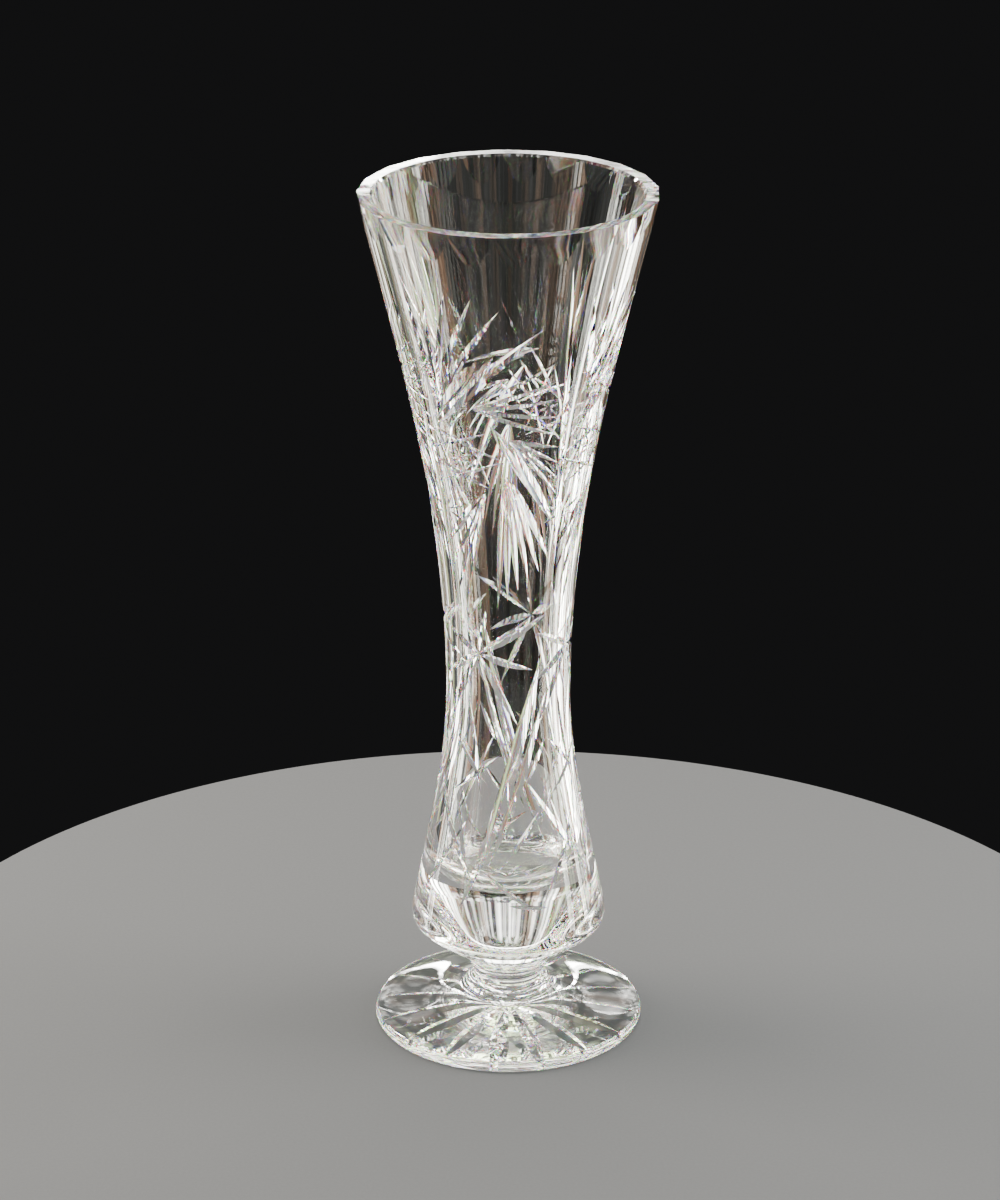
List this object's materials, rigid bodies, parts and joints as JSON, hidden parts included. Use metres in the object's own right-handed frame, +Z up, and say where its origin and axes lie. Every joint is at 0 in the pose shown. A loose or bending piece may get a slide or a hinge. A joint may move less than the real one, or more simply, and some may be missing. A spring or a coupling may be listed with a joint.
{
  "type": "cut crystal vase",
  "caption": "Tall waisted clear crystal flower vase with a flared scalloped rim, pinwheel mitre cutting and a round star-cut foot.",
  "frame": {"origin": "centre of the resting face under the foot", "axes": "+Z up along the vase's axis; -Y is the front, the side with the hobstar a little left of the middle"},
  "size_m": [0.0828, 0.0828, 0.25],
  "materials": {
    "bowl_crystal": "polished clear lead crystal with bright mitre cuts",
    "button_crystal": "fire-polished clear lead crystal",
    "foot_crystal": "polished clear lead crystal with a star cut underneath"
  },
  "bodies": {
    "root": {"bowl": "bowl_crystal", "stem_button": "button_crystal", "foot": "foot_crystal"}
  },
  "joints": []
}
